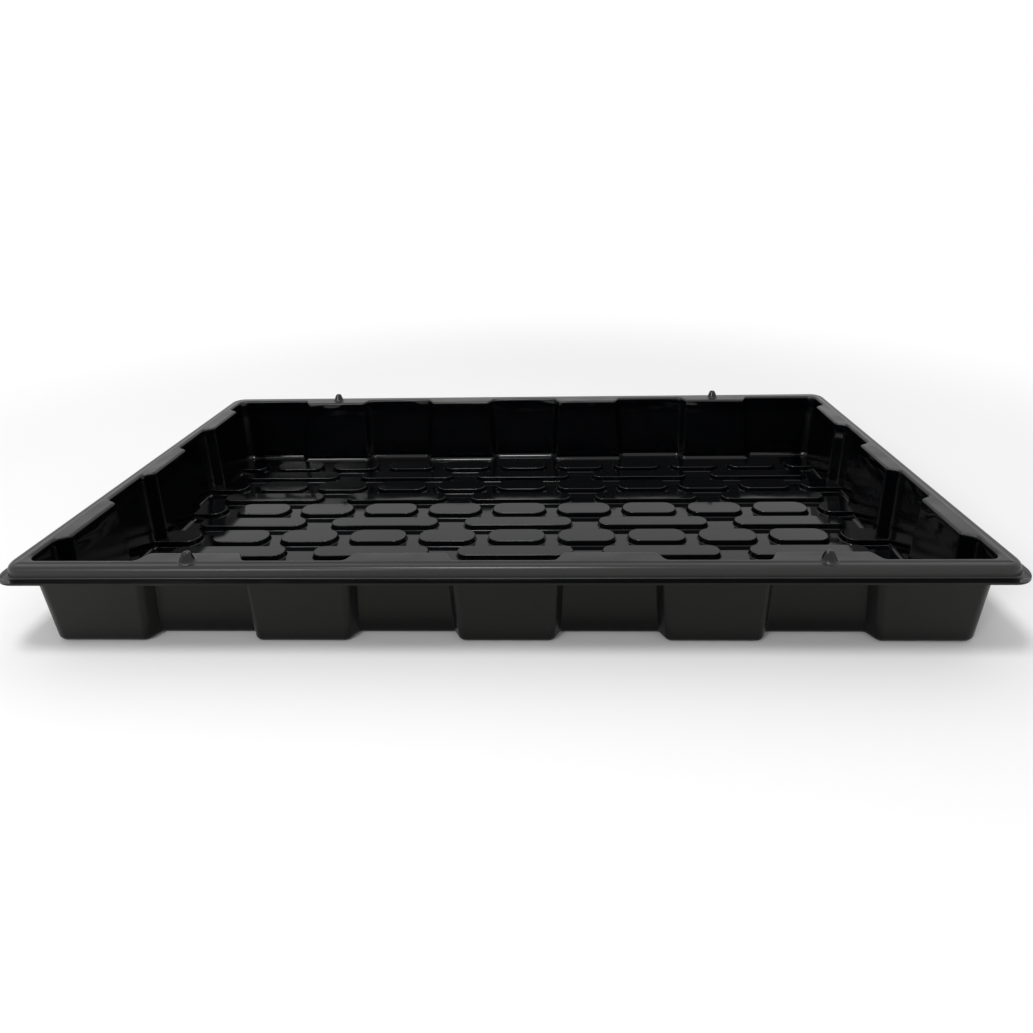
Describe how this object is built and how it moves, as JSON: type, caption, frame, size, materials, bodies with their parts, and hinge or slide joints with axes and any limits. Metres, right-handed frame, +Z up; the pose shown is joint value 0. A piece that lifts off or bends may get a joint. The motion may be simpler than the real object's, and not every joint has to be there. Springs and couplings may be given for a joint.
{
  "type": "plant growing tray",
  "caption": "Shallow black plastic growing tray with fluted sloping walls, a floor of raised pads and a turned-down rim with a trim lip.",
  "frame": {"origin": "on the ground under the middle of the tray", "axes": "+X along the tray's length, +Y across it away from the viewer, +Z up out of the open top"},
  "size_m": [0.547, 0.286, 0.059],
  "materials": {
    "black_sheet": "glossy inside, satin outside and on the rim"
  },
  "bodies": {
    "root": {"floor_pan": "black_sheet", "front_wall": "black_sheet", "right_wall": "black_sheet", "rear_wall": "black_sheet", "left_wall": "black_sheet", "front_rim": "black_sheet", "right_rim": "black_sheet", "rear_rim": "black_sheet", "left_rim": "black_sheet"}
  },
  "joints": []
}
